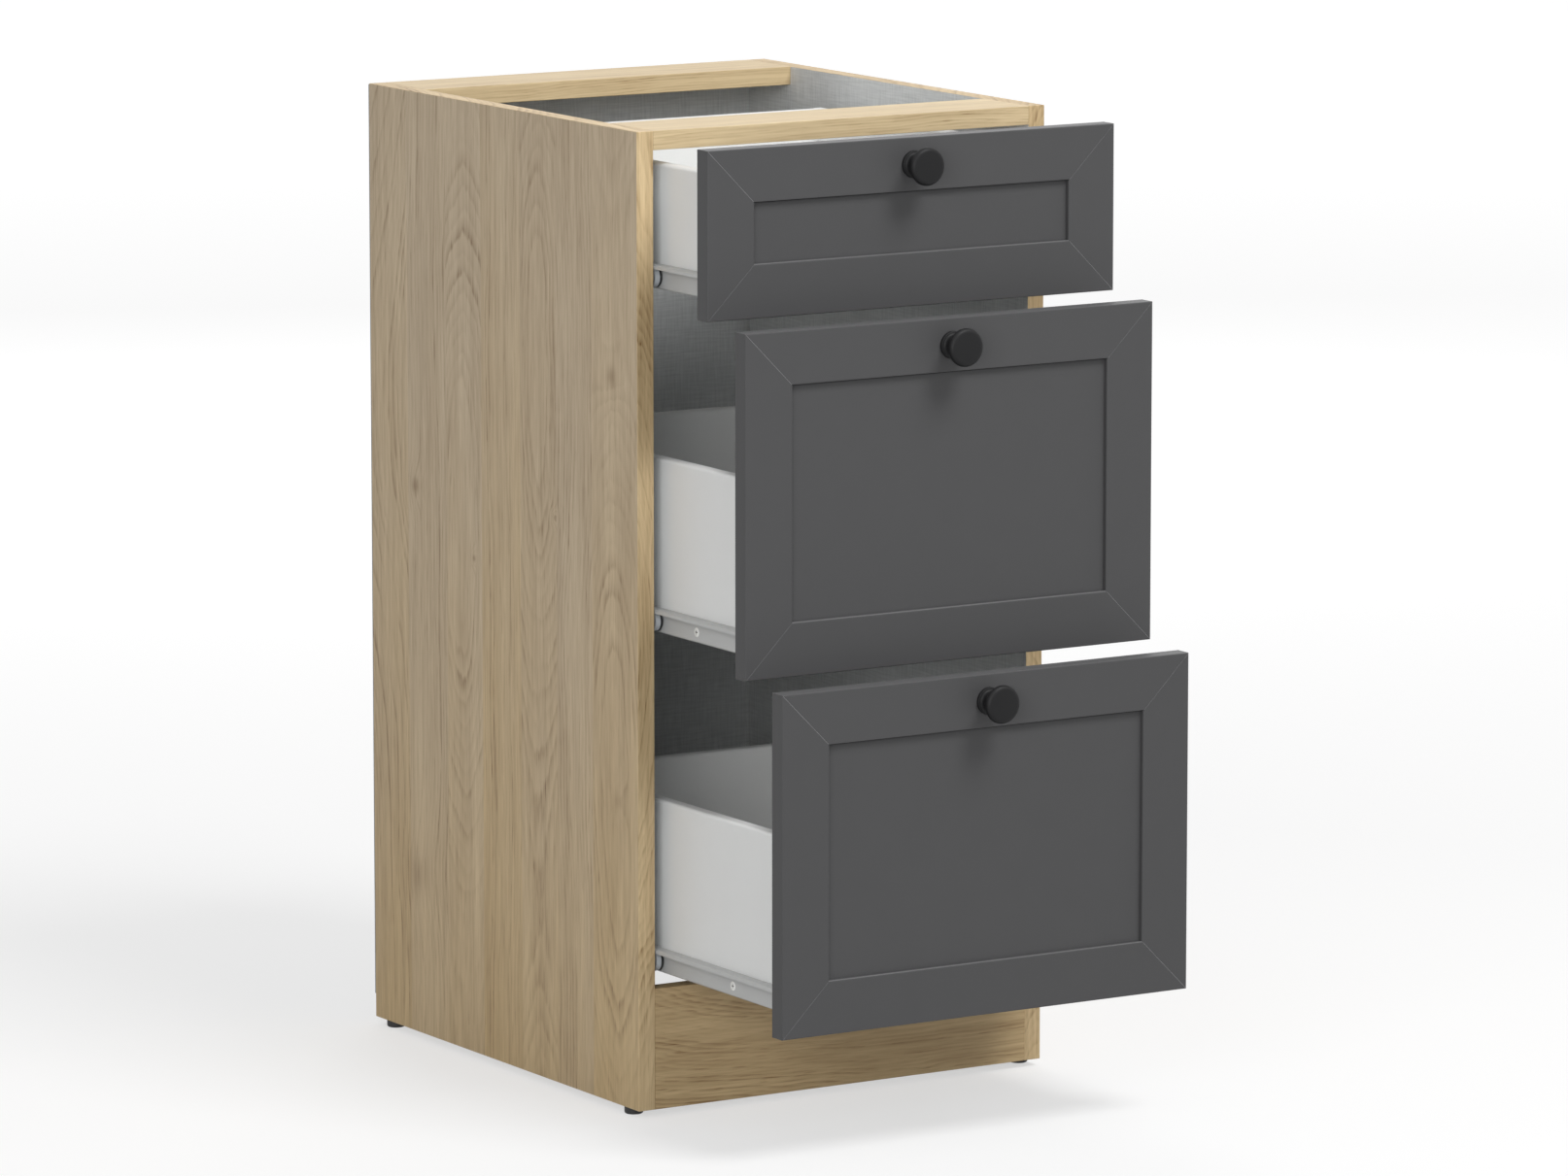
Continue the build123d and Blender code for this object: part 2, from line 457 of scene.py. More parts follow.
class Sketch(Nodes):
    """The node tree of a finish's material."""

    def __init__(self, name: str) -> None:
        """Starts an empty material with one shader.

        Args:
            name: the material's name.
        """
        self.material = bpy.data.materials.new(name)
        self.material.use_nodes = True
        super().__init__(self.material.node_tree)
        self.tree.nodes.clear()
        self.shader = self.add("ShaderNodeBsdfPrincipled")
        self.add("ShaderNodeOutputMaterial", {"Surface": self.shader.outputs["BSDF"]})
        self.place = self.add("ShaderNodeTexCoord").outputs["Object"]

    def along(self, direction: Direction) -> Socket:
        """Measures the place on the piece along a direction, in metres."""
        inputs = {0: self.place, 1: direction}
        return self.add("ShaderNodeVectorMath", inputs, operation="DOT_PRODUCT").outputs["Value"]

    def scaled(self, scale: Direction) -> Socket:
        """Gives the place on the piece, with each axis scaled by its own number."""
        return self.add("ShaderNodeMapping", {"Vector": self.place, "Scale": scale}).outputs[0]

    def noise(self, vector: Socket, detail: float = 2.0) -> Socket:
        """Gives smooth noise about zero, one ripple to a unit of the vector.

        Args:
            vector: where the noise is read.
            detail: how many finer layers it has.

        Returns:
            The noise, mostly between -0.3 and 0.3.
        """
        inputs = {"Vector": vector, "Scale": 1.0, "Detail": detail}
        node = self.add("ShaderNodeTexNoise", inputs, noise_dimensions="3D")
        return self.calc("SUBTRACT", node.outputs["Fac"], 0.5)

    def steps(
        self, place: Socket, starts: list[float], values: list[tuple[float, ...]]
    ) -> tuple[Socket, ...]:
        """Gives each strip of a line its own four numbers.

        Args:
            place: where on the line.
            starts: where each strip starts.
            values: the four numbers of each strip, none below 0.

        Returns:
            The four numbers at that place.
        """
        last_strip = 50.0 * MM
        span = starts[-1] - starts[0] + last_strip
        node = self.add("ShaderNodeValToRGB")
        node.color_ramp.interpolation = "CONSTANT"
        node.color_ramp.elements.remove(node.color_ramp.elements[1])
        for index, (begin, numbers) in enumerate(zip(starts, values)):
            spot = (begin - starts[0]) / span
            stop = node.color_ramp.elements[0] if index == 0 else node.color_ramp.elements.new(spot)
            stop.position = spot
            stop.color = numbers
        self.feed(node.inputs["Fac"], self.calc("MULTIPLY_ADD", place, 1 / span, -starts[0] / span))
        return *self.split(node.outputs["Color"]), node.outputs["Alpha"]

    def chance(self, x: Value, y: Value) -> Socket:
        """Draws three chances from 0 to 1 for a pair of numbers, the same each time the pair is met."""
        inputs = {"Vector": self.pack(x, y)}
        return self.add("ShaderNodeTexWhiteNoise", inputs, noise_dimensions="2D").outputs["Color"]

    def ramp(self, value: Value, start: float, end: float) -> Socket:
        """Rises smoothly from 0 to 1 as a value goes from start to end."""
        return self.span(value, start, end, interpolation_type="SMOOTHSTEP")

    def blend(self, factor: Value, first: Colour, second: Colour) -> Socket:
        """Blends two colours, the second at a factor of 1."""
        inputs = {0: factor, 6: (*first, 1.0), 7: (*second, 1.0)}
        return self.add("ShaderNodeMix", inputs, data_type="RGBA").outputs[2]

    def tint(self, colour: Colour, factor: Socket) -> Socket:
        """Makes a colour lighter or darker by a factor."""
        inputs = {0: colour, "Scale": factor}
        return self.add("ShaderNodeVectorMath", inputs, operation="SCALE").outputs[0]

    def stain(self, colour: Socket, depth: Socket, shares: Colour) -> Socket:
        """Darkens a colour, each of red, green and blue by its own share.

        Args:
            colour: the colour.
            depth: how much darker it gets.
            shares: each part's share of the depth.

        Returns:
            The stained colour.
        """
        kept = [self.calc("MULTIPLY_ADD", depth, -share, 1.0) for share in shares]
        inputs = {0: colour, 1: self.pack(*kept)}
        return self.add("ShaderNodeVectorMath", inputs, operation="MULTIPLY").outputs[0]

    def relief(self, height: Socket, depth: float) -> None:
        """Raises the surface by a height of about -0.5 to 0.5, where 1 is the depth in metres."""
        bump = self.add("ShaderNodeBump", {"Strength": 1.0, "Distance": depth, "Height": height})
        self.feed(self.shader.inputs["Normal"], bump.outputs[0])

    def finish(self, colour: Socket, roughness: float, metal: float = 0.0, gloss: float = 0.5) -> None:
        """Sets the shader.

        Args:
            colour: its colour.
            roughness: how rough it is, from 0 to 1.
            metal: 1 for bare metal, else 0.
            gloss: the strength of its gloss.
        """
        self.feed(self.shader.inputs["Base Color"], colour)
        self.feed(self.shader.inputs["Roughness"], roughness)
        self.feed(self.shader.inputs["Metallic"], metal)
        self.feed(self.shader.inputs["Specular IOR Level"], gloss)


@dataclass(frozen=True)
class Finish(ABC):
    """A finish: its name, and how it is painted."""

    name: str

    @property
    def material(self) -> bpy.types.Material:
        """Looks up the finish's material, and makes it the first time.

        Returns:
            The material.
        """
        made = bpy.data.materials.get(self.name)
        if made is None:
            sketch = Sketch(self.name)
            self.paint(sketch)
            made = sketch.material
        return made

    @abstractmethod
    def paint(self, sketch: Sketch) -> None:
        """Draws the finish into an empty material.

        Args:
            sketch: the material to draw in.
        """


@dataclass(frozen=True)
class Knot:
    """A knot in the oak, or a broad faint patch of painted shade: its place across and along the grain,
    its size and how dark it is.
    """

    across: float
    along: float
    radius: float
    dark: float = 0.35


@dataclass(frozen=True)
class Stave:
    """One stave of the oak print: where it starts across the board, and how it lay in the log.

    The heart is the place across the board of the middle of the log, the swing is how far the log
    bends away from the board along the grain, the crown is where it is nearest, and the tone goes
    from pale 0 to warm 1.
    """

    start: float
    heart: float
    swing: float
    crown: float
    tone: float


@dataclass(frozen=True)
class Ripple:
    """Noise drawn out along the grain: ripples to a metre each way, finer layers and strength."""

    across: float
    along: float
    detail: float = 2.0
    strength: float = 1.0


SWAY = Ripple(0.0, 3.4, strength=2.2)
RING_WAVES = (Ripple(11.0, 2.8), Ripple(60.0, 11.0, strength=0.45), Ripple(300.0, 24.0, strength=0.16))
PATCHES = Ripple(22.0, 7.0)
FEATHERS = Ripple(480.0, 34.0)
PORES = Ripple(900.0, 45.0)
STREAKS = (
    Ripple(420.0, 20.0, 3.0, strength=0.36),
    Ripple(150.0, 6.0, strength=0.34),
    Ripple(42.0, 2.2, strength=0.28),
)
BLUSH = Ripple(14.0, 2.4, strength=0.42)
CLOUDS = Ripple(5.0, 1.6, strength=0.24)


@dataclass(frozen=True)
class OakLaminate(Finish):
    """Oak print in glued staves: arched and straight growth rings, pores and a few knots, and any broad
    patches of painted shade given with them.
    """

    across: Direction
    along: Direction
    staves: tuple[Stave, ...]
    pale: Colour = shade(183, 163, 134)
    warm: Colour = shade(184, 154, 101)
    ring: float = 5.2 * MM
    bend: float = 0.9
    nearest: float = 12.0 * MM
    point: float = 1.75
    wander: float = 14.0 * MM
    fade: float = 0.0
    seed: float = 0.0
    roughness: float = 0.45
    contrast: float = 1.0
    brown: Colour = (0.84, 1.0, 1.2)
    knots_and_shade: tuple[Knot, ...] = ()
    line_depth: float = 0.42
    pore_depth: float = 0.2
    lift: float = 0.13
    relief: float = 0.05 * MM
    knot_stretch: float = 0.9
    knot_push: float = 12.0 * MM
    knot_reach: float = 0.16
    knot_edge: float = 1.4

    def paint(self, sketch: Sketch) -> None:
        """Draws the staves, their rings and their pores.

        Args:
            sketch: the material to draw in.
        """
        calc = sketch.calc
        u = sketch.along(self.across)
        v = sketch.along(self.along)
        starts = [stave.start for stave in self.staves]
        numbers = [(stave.heart + 1, stave.swing, stave.crown + 1, stave.tone) for stave in self.staves]
        heart, swing, crown, tone = sketch.steps(u, starts, numbers)

        def drawn(ripple: Ripple) -> Socket:
            """Draws a ripple, different in each stave.

            Args:
                ripple: the ripple to draw.

            Returns:
                The noise at this place.
            """
            aside = calc("MULTIPLY_ADD", heart, 37.0, self.seed)
            across = calc("MULTIPLY", u, ripple.across)
            along = calc("MULTIPLY", v, ripple.along)
            return sketch.noise(sketch.pack(across, along, aside), ripple.detail)

        # How far this place was from the middle of the log
        sideways = calc("SUBTRACT", calc("ADD", u, 1.0), heart)
        sideways = calc("MULTIPLY_ADD", drawn(SWAY), self.wander * SWAY.strength, sideways)
        sideways = calc("ABSOLUTE", sideways)
        turn = calc("MULTIPLY", calc("SUBTRACT", calc("ADD", v, 1.0), crown), math.tau / self.bend)
        arch = calc("SUBTRACT", 1.0, calc("COSINE", turn))
        depth = calc("MULTIPLY", arch, calc("MULTIPLY", swing, 0.5))
        depth = calc("ADD", depth, self.nearest)
        radius = calc("ADD", calc("POWER", sideways, self.point), calc("POWER", depth, self.point))
        radius = calc("POWER", radius, 1 / self.point)
        for ripple in RING_WAVES:
            radius = calc("MULTIPLY_ADD", drawn(ripple), self.wander * ripple.strength, radius)

        # Knots push the rings aside and darken their own place, and the broad patches given with them
        # paint shade the same way
        dark: Value = 0.0
        for knot in self.knots_and_shade:
            beside = calc("MULTIPLY", calc("SUBTRACT", u, knot.across), 1 / knot.radius)
            beyond = calc("MULTIPLY", calc("SUBTRACT", v, knot.along), self.knot_stretch / knot.radius)
            away = calc("ADD", calc("POWER", beside, 2.0), calc("POWER", beyond, 2.0))
            push = calc("EXPONENT", calc("MULTIPLY", away, -self.knot_reach))
            radius = calc("MULTIPLY_ADD", push, self.knot_push, radius)
            core = calc("EXPONENT", calc("MULTIPLY", away, -self.knot_edge))
            dark = calc("MULTIPLY_ADD", core, knot.dark, dark)

        # Each ring is a line that starts sharp and fades, some strong and some weak
        rings = calc("MULTIPLY", radius, 1 / self.ring)
        count = calc("FLOOR", rings)
        part = calc("SUBTRACT", rings, count)
        fading = calc("POWER", calc("SUBTRACT", 1.0, part), 1.5)
        line = calc("MULTIPLY", sketch.ramp(part, 0.0, 0.3), fading)
        weight = calc("POWER", sketch.split(sketch.chance(count, heart))[0], 1.6)
        line = calc("MULTIPLY", line, calc("MULTIPLY_ADD", weight, 1.0, 0.15))
        line = calc("MULTIPLY", line, sketch.ramp(drawn(PATCHES), -0.35, 0.15))
        feather = sketch.ramp(drawn(FEATHERS), -0.2, 0.2)
        line = calc("MULTIPLY", line, calc("MULTIPLY_ADD", feather, 0.9, 0.4))
        pore = sketch.ramp(drawn(PORES), 0.05, 0.2)
        pore = calc("MULTIPLY", pore, calc("MULTIPLY_ADD", line, 1.6, 0.35))

        shadow = calc("MULTIPLY_ADD", line, self.line_depth * self.contrast, dark)
        for ripple in STREAKS:
            shadow = calc("MULTIPLY_ADD", drawn(ripple), ripple.strength * self.contrast, shadow)
        shadow = calc("MULTIPLY_ADD", pore, self.pore_depth * self.contrast, shadow)
        tone = calc("MULTIPLY_ADD", drawn(BLUSH), BLUSH.strength, tone)
        tone = calc("SUBTRACT", tone, calc("MULTIPLY", v, self.fade))
        light = calc("MULTIPLY_ADD", drawn(CLOUDS), CLOUDS.strength, self.lift)
        colour = sketch.blend(sketch.ramp(tone, -0.2, 1.2), self.pale, self.warm)
        sketch.finish(sketch.stain(colour, calc("SUBTRACT", shadow, light), self.brown), self.roughness)
        sketch.relief(calc("MULTIPLY", calc("ADD", pore, line), -0.5), self.relief)


@dataclass(frozen=True)
class LinenLaminate(Finish):
    """Grey laminate with a printed and pressed linen weave."""

    colour: Colour
    thread: float = 1.8 * MM
    roughness: float = 0.55
    stretch: float = 0.07
    contrast: float = 0.34
    cloud: float = 0.10
    cloud_pitch: float = 9.0
    depth: float = 0.10 * MM

    def paint(self, sketch: Sketch) -> None:
        """Draws threads that cross, thick and thin, with an uneven tone.

        Args:
            sketch: the material to draw in.
        """
        calc = sketch.calc
        level = sketch.along((1.0, 1.0, 0.0))
        upright = sketch.along((0.0, 0.0, 1.0))
        fine = 1 / self.thread
        slow = self.stretch / self.thread
        aside = 7.0
        weft = sketch.pack(calc("MULTIPLY", level, slow), calc("MULTIPLY", upright, fine))
        warp = sketch.pack(calc("MULTIPLY", level, fine), calc("MULTIPLY", upright, slow), aside)
        weave = calc("ADD", sketch.noise(weft, 1.0), sketch.noise(warp, 1.0))
        cloud = sketch.noise(sketch.scaled((self.cloud_pitch,) * 3))
        tone = calc("MULTIPLY_ADD", weave, self.contrast, calc("MULTIPLY_ADD", cloud, self.cloud, 1.0))
        sketch.finish(sketch.tint(self.colour, tone), self.roughness)
        sketch.relief(weave, self.depth)


@dataclass(frozen=True)
class FineGrain(Finish):
    """A plain coat with a fine grain: lacquer, melamine, paint, moulded plastic or plated metal."""

    colour: Colour
    roughness: float = 0.5
    metal: float = 0.0
    grain: float = 0.8 * MM
    depth: float = 0.01 * MM
    mottle: float = 0.08
    cloud: float = 30.0 * MM
    streak: Direction = (1.0, 1.0, 1.0)
    gloss: float = 0.5

    def paint(self, sketch: Sketch) -> None:
        """Draws a cloudy tone and a fine grain, drawn out where the coat was rolled or brushed.

        Args:
            sketch: the material to draw in.
        """
        calc = sketch.calc
        clouds = sketch.noise(sketch.scaled(tuple(s / self.cloud for s in self.streak)), 3.0)
        grain = sketch.noise(sketch.scaled(tuple(s / self.grain for s in self.streak)), 1.0)
        tone = calc("MULTIPLY_ADD", clouds, self.mottle, calc("MULTIPLY_ADD", grain, self.mottle, 1.0))
        sketch.finish(sketch.tint(self.colour, tone), self.roughness, self.metal, self.gloss)
        sketch.relief(grain, self.depth)


ACROSS_SIDE = (0.0, 1.0, 0.0)
ACROSS_EDGE = (1.0, 0.0, 0.0)
ACROSS_RAIL = (0.0, 1.0, 1.0)
ALONG_SIDE = (0.0, 0.0, 1.0)
ALONG_EDGE = (0.0, 1.0, 1.0)
ALONG_RAIL = (1.0, 0.0, 0.0)
HONEY = shade(209, 188, 151)
AMBER = shade(194, 168, 124)
LEFT_STAVES = (
    Stave(-0.1100, -0.0660, 0.075, 0.26, 0.65),
    Stave(-0.0290, -0.1500, 0.020, 0.30, 0.45),
    Stave(0.0290, 0.0610, 0.075, 0.62, 0.60),
    Stave(0.0900, 0.0000, 0.020, 0.60, 0.75),
    Stave(0.1560, 0.1890, 0.085, 0.46, 0.55),
    Stave(0.2170, 0.4000, 0.025, 0.20, 0.50),
    Stave(0.2830, 0.3800, 0.090, 0.12, 0.70),
)
RIGHT_STAVES = (
    Stave(-0.1100, -0.1900, 0.020, 0.20, 0.55),
    Stave(-0.0410, -0.0060, 0.080, 0.55, 0.70),
    Stave(0.0230, 0.1700, 0.020, 0.40, 0.50),
    Stave(0.0880, 0.1180, 0.080, 0.16, 0.65),
    Stave(0.1490, 0.0600, 0.025, 0.70, 0.55),
    Stave(0.2140, 0.2450, 0.075, 0.74, 0.75),
    Stave(0.2780, 0.4300, 0.020, 0.10, 0.60),
)
EDGE_STAVES = (Stave(-0.3, -0.2120, 0.080, 0.32, 0.4), Stave(0.0, 0.2100, 0.080, 0.55, 0.5))
RAIL_STAVES = (Stave(0.4, 0.8400, 0.030, -0.40, 0.4), Stave(0.8, 0.9900, 0.030, 0.10, 0.5))
PLINTH_STAVES = (Stave(-0.2, 0.0420, 0.070, 0.12, 0.5),)
LEFT_KNOTS = (
    Knot(-0.0594, 0.6209, 9.5 * MM, 0.46),
    Knot(0.2715, 0.4868, 7.0 * MM, 0.50),
    Knot(0.1706, 0.4371, 3.0 * MM, 0.45),
    Knot(0.2692, 0.1453, 18.0 * MM, 0.30),
    Knot(-0.0682, 0.2640, 7.0 * MM, 0.20),
    Knot(0.0337, 0.4902, 2.6 * MM, 0.20),
)
# Two broad faint patches on the left panel's front edge, given as knots: they paint the shade of the
# open drawer fronts, and bend the rings a little
EDGE_PAINTED_SHADE = (Knot(-0.1920, 0.5450, 106.0 * MM, 0.16), Knot(-0.1920, 0.3300, 106.0 * MM, 0.10))
RIGHT_KNOTS = (
    Knot(0.1320, 0.5630, 6.0 * MM, 0.28),
    Knot(0.2460, 0.2210, 5.0 * MM, 0.26),
    Knot(-0.0410, 0.3570, 3.0 * MM, 0.24),
)

OAK_LEFT = OakLaminate(
    "oak_left_face", ACROSS_SIDE, ALONG_SIDE, LEFT_STAVES,
    fade=0.9, seed=1.7, contrast=1.6, knots_and_shade=LEFT_KNOTS,
)
OAK_RIGHT = OakLaminate(
    "oak_right_face", ACROSS_SIDE, ALONG_SIDE, RIGHT_STAVES,
    fade=0.9, seed=23.4, contrast=1.6, knots_and_shade=RIGHT_KNOTS,
)
OAK_EDGE = OakLaminate(
    "oak_edge_band", ACROSS_EDGE, ALONG_EDGE, EDGE_STAVES, shade(208, 184, 144), shade(184, 156, 112),
    2.8 * MM, seed=4.2, contrast=1.9, knots_and_shade=EDGE_PAINTED_SHADE,
)
OAK_RAIL = OakLaminate(
    "oak_rail", ACROSS_RAIL, ALONG_RAIL, RAIL_STAVES, HONEY, AMBER,
    2.4 * MM, wander=8.0 * MM, seed=8.9, contrast=1.25,
)
OAK_PLINTH = OakLaminate(
    "oak_plinth", ACROSS_RAIL, ALONG_RAIL, PLINTH_STAVES, shade(195, 170, 129), shade(176, 148, 105),
    3.2 * MM, seed=13.6, contrast=1.7, knots_and_shade=(Knot(0.0458, 0.0284, 4.0 * MM, 0.4),),
)
LINEN = LinenLaminate("grey_linen", shade(212, 214, 214))
BACK_SHEET = FineGrain(
    "hardboard_rear", shade(150, 151, 150), 0.75, grain=1.6 * MM, depth=0.03 * MM, mottle=0.22
)
ANTHRACITE = FineGrain(
    "anthracite_matt", shade(74, 74, 75), 0.6, grain=0.5 * MM, depth=0.006 * MM, mottle=0.06, gloss=0.35
)
# Pale anthracite for the chamfers of the mitres that run down to the right: a painted highlight where
# the key light falls on them
FRONT_ARRIS_HIGHLIGHT = FineGrain(
    "anthracite_arris", shade(160, 160, 161), 0.45, grain=0.5 * MM, mottle=0.1, gloss=0.4
)
# Lighter anthracite for the rails' outer edge faces and for the rounding beside the panel on the lower
# rail and left stile: a painted highlight where light falls on them
FRONT_EDGE_HIGHLIGHT = FineGrain(
    "anthracite_edge_painted_highlight", shade(94, 94, 95), 0.45, grain=0.5 * MM, mottle=0.1, gloss=0.35
)
# Lighter anthracite for the upper chamfers of the mitres that run up to the right: a painted highlight
FRONT_MITRE_HIGHLIGHT = FineGrain(
    "anthracite_mitre", shade(114, 114, 115), 0.45, grain=0.5 * MM, mottle=0.1, gloss=0.4
)
# Near-black anthracite for the upper rail's rounding beside the panel: painted shade under the rail's
# overhang
FRONT_PAINTED_SHADE = FineGrain(
    "anthracite_painted_shade", shade(24, 24, 25), 0.6, grain=0.5 * MM, mottle=0.1, gloss=0.2
)
KNOB_BLACK = FineGrain("knob_black", shade(27, 27, 28), 0.5, grain=0.35 * MM, mottle=0.15, gloss=0.2)
WHITE = FineGrain(
    "white_melamine", shade(236, 237, 236), 0.42, grain=0.9 * MM, depth=0.008 * MM, mottle=0.03
)
WHITE_SHEET = FineGrain(
    "white_hardboard", shade(222, 223, 222), 0.55, grain=1.4 * MM, depth=0.015 * MM, mottle=0.05
)
STEEL = FineGrain(
    "runner_paint", shade(193, 194, 193), 0.4, grain=1.1 * MM, depth=0.012 * MM, mottle=0.05
)
NYLON = FineGrain(
    "roller_nylon", shade(188, 192, 196), 0.38, grain=0.7 * MM, depth=0.006 * MM, mottle=0.08
)
ZINC = FineGrain("zinc_plate", shade(212, 212, 208), 0.34, 1.0, grain=0.4 * MM, mottle=0.2)
BRIGHT_ZINC = FineGrain("bright_zinc", shade(238, 238, 235), 0.42, 0.25, grain=0.4 * MM, mottle=0.06)
# Dark grey for the band of a roller's tread beside the drawer
DARK_TREAD = FineGrain("roller_tyre", shade(44, 45, 47), 0.55, grain=0.5 * MM, mottle=0.2, gloss=0.3)
# Dark grey for the floor of a cross slot: painted shade
SLOT_PAINTED_SHADE = FineGrain("dark_recess", shade(52, 52, 52), 0.6, grain=0.4 * MM, mottle=0.2)
FOOT_BLACK = FineGrain(
    "glide_black", shade(36, 36, 37), 0.55, grain=0.5 * MM, depth=0.02 * MM, mottle=0.2
)


def dress(piece: Piece, finish: Finish, test: Test | None = None) -> None:
    """Gives a piece a finish, all over or on the faces that pass a test.

    Args:
        piece: the piece to dress.
        finish: its finish.
        test: takes a face's centre and normal; without it the finish goes all over.
    """
    if test is None:
        piece.data.materials.clear()
        piece.data.materials.append(finish.material)
        return
    piece.data.materials.append(finish.material)
    for face in piece.data.polygons:
        if test(face.center, face.normal):
            face.material_index = len(piece.data.materials) - 1


def fit(piece: Piece, body: str, slot: Slot, *nodes: str) -> Piece:
    """Sets a finished piece on its body, in place of the nodes it stands for, and reports it.

    Args:
        piece: the finished piece.
        body: the body it rides on.
        slot: the slot its finish belongs to; not used.
        nodes: the nodes it stands for.

    Returns:
        The piece.
    """
    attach(piece, body)
    if nodes:
        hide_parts(*nodes)
    log.info("%s rides on %s, %d faces", piece.name, body, len(piece.data.polygons))
    return piece


@dataclass
class Hardware:
    """Fasteners, modelled once at the origin with the head towards +Z, then copied to their places."""

    screw_radius: float = 3.9 * MM
    screw_proud: float = 0.25 * MM
    slot_length: float = 3.6 * MM
    slot_width: float = 0.9 * MM
    nail_radius: float = 2.2 * MM
    cam_radius: float = 7.5 * MM
    cam_proud: float = 0.3 * MM
    bolt_radius: float = 3.9 * MM
    bolt_height: float = 2.2 * MM
    rivet_radius: float = 4.5 * MM
    rivet_height: float = 0.72 * MM

    def cross(self, piece: Piece, floor: float, top: float, scale: float = 1.0) -> None:
        """Sinks a cross slot into a head, and paints shade on its floor.

        Args:
            piece: the head.
            floor, top: height of the slot's floor and of the head.
            scale: how much larger the slot is than a screw's.
        """
        reach = self.slot_length * scale / 2
        half = self.slot_width * scale / 2
        for x, y in ((reach, half), (half, reach)):
            cutter = Bench.block("slot_cutter", Vector((-x, -y, floor)), Vector((x, y, top + 1.0 * MM)))
            Bench.ease(cutter, half * 0.4, 1, lambda a, b: abs(a.z - b.z) > TOUCH)
            Bench.carve(piece, cutter)
        near = 2 * TOUCH
        # The slot's floor is painted dark as shade
        dress(piece, SLOT_PAINTED_SHADE, lambda centre, normal: abs(centre.z - floor) < near and normal.z > FACES)

    def screw(self) -> Piece:
        """Models a countersunk screw head, a little proud of the sheet it holds.

        Returns:
            The pattern to copy.
        """
        rim = self.screw_radius
        top = self.screw_proud
        under = -0.5 * MM
        outline = ((0, top), (rim * 0.86, top), (rim, 0), (rim * 0.7, under), (0, under))
        piece = Bench.turn("screw_pattern", outline, Vector(), UP, 28)
        dress(piece, BRIGHT_ZINC)
        self.cross(piece, 0.04 * MM, top)
        return piece

    def bolt(self) -> Piece:
        """Models the domed head of the machine screw that holds a knob.

        Returns:
            The pattern to copy.
        """
        rim = self.bolt_radius
        top = self.bolt_height
        corners = ((0, top, 0), (rim, top, top * 0.9), (rim, 0, 0), (0, 0, 0))
        piece = Bench.turn("bolt_pattern", Bench.rounded(corners, 5), Vector(), UP, 28)
        dress(piece, ZINC)
        self.cross(piece, top * 0.4, top, 1.2)
        return piece

    def cam(self) -> Piece:
        """Models the face of a cam fitting, sunk into a board.

        Returns:
            The pattern to copy.
        """
        rim = self.cam_radius
        top = self.cam_proud
        under = -1.0 * MM
        outline = (
            (0, top * 0.5),
            (rim * 0.62, top * 0.5),
            (rim * 0.68, top),
            (rim * 0.92, top),
            (rim, top * 0.3),
            (rim, under),
            (0, under),
        )
        piece = Bench.turn("cam_pattern", outline, Vector(), UP, 32)
        dress(piece, ZINC)
        self.cross(piece, -0.8 * MM, top, 2.0)
        return piece

    def rivet(self) -> Piece:
        """Models the spread head of an axle.

        Returns:
            The pattern to copy.
        """
        rim = self.rivet_radius
        top = self.rivet_height
        under = 0.02 * MM
        corners = ((0, top, 0), (rim, top, top * 0.8), (rim, under, 0), (0, under, 0))
        piece = Bench.turn("rivet_pattern", Bench.rounded(corners, 3), Vector(), UP, 32)
        dress(piece, ZINC)
        return piece

    def nail(self) -> Piece:
        """Models a flat nail head.

        Returns:
            The pattern to copy.
        """
        rim = self.nail_radius
        under = -0.4 * MM
        outline = ((0, 0.45 * MM), (rim * 0.7, 0.4 * MM), (rim, 0.15 * MM), (rim, under), (0, under))
        piece = Bench.turn("nail_pattern", outline, Vector(), UP, 14)
        dress(piece, ZINC)
        return piece

    @staticmethod
    def spread(pattern: Piece, name: str, places: list[Vector], facing: Vector) -> Piece:
        """Copies a fastener to all its places, joins the copies and throws the pattern away.

        Args:
            pattern: the fastener at the origin, head towards +Z.
            name: the joined piece's name.
            places: where each head sits.
            facing: the direction that the heads look to.

        Returns:
            The joined piece.
        """
        turn = UP.rotation_difference(facing).to_matrix().to_4x4()
        copies = [Bench.copy(pattern, f"{name}_{i}", place, turn) for i, place in enumerate(places)]
        bpy.data.objects.remove(pattern)
        return Bench.join(name, copies)


